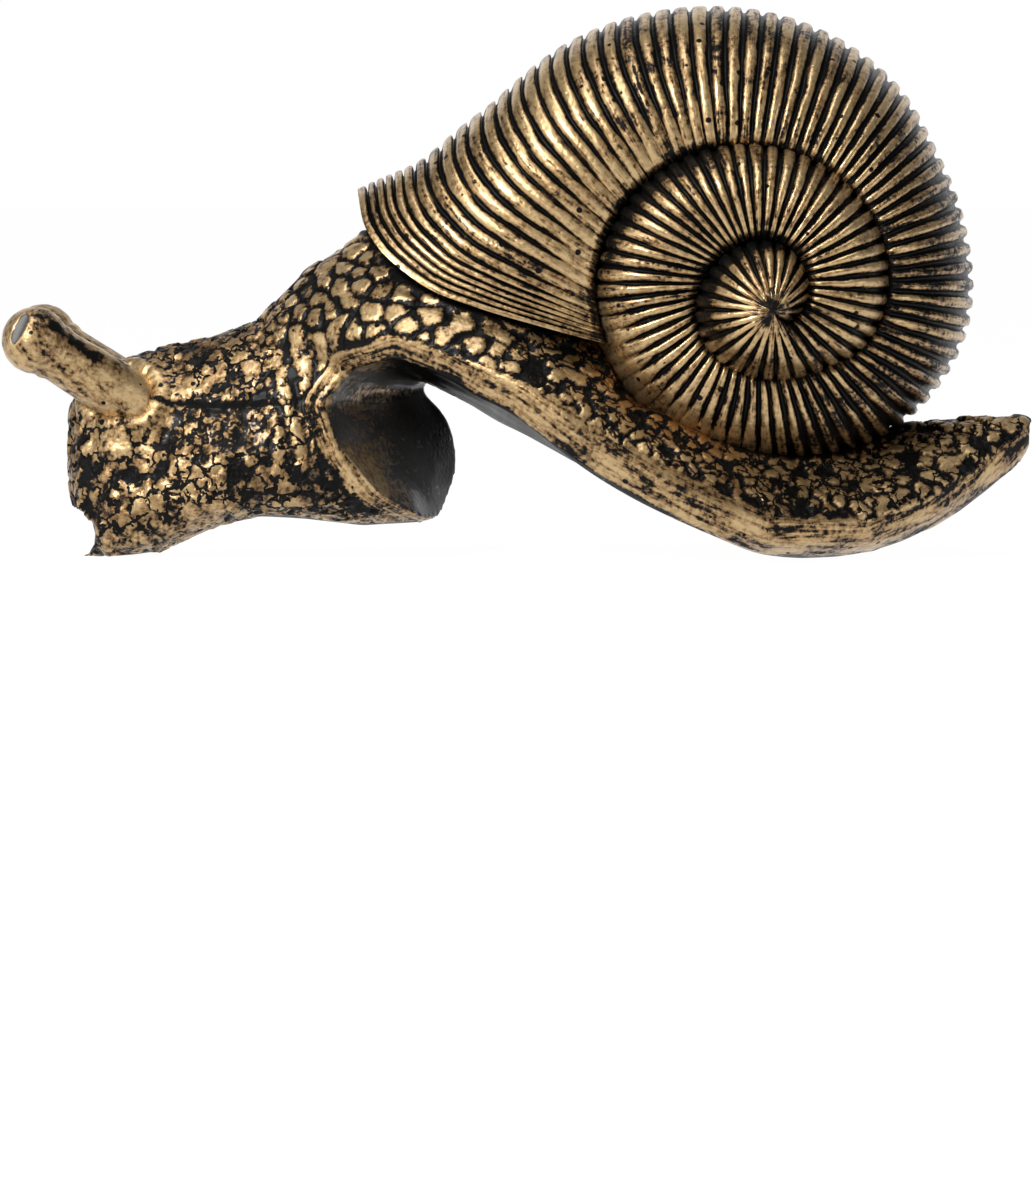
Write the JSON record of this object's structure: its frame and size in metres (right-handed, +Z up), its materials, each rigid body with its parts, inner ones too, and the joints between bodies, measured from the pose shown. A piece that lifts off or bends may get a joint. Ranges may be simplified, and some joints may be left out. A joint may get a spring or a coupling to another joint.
{
  "type": "snail ornament",
  "caption": "Antique-gold cast snail ornament with an arched foot that hooks over a rim, a ribbed spiral shell and ball-tipped eye stalks.",
  "frame": {"origin": "on the ground, under the middle of the overall box", "axes": "-X towards the head, +X towards the tail, +Y towards the snail's right side, +Z up"},
  "size_m": [0.129, 0.0612, 0.0692],
  "materials": {
    "gilt_body": "antique gold paint rubbed over a black ground on cast resin",
    "gilt_shell": "antique gold paint rubbed over a black ground on cast resin",
    "gilt_stalk": "antique gold paint on cast resin",
    "steel_wire": "plain drawn wire",
    "dowel_wood": "plain turned dowel"
  },
  "bodies": {
    "root": {"body": "gilt_body", "shell": "gilt_shell", "eye_stalk_left": "gilt_stalk", "eye_stalk_right": "gilt_stalk", "stalk_pin_left": "steel_wire", "stalk_pin_right": "steel_wire", "shell_dowel_front": "dowel_wood", "shell_dowel_rear": "dowel_wood"}
  },
  "joints": []
}
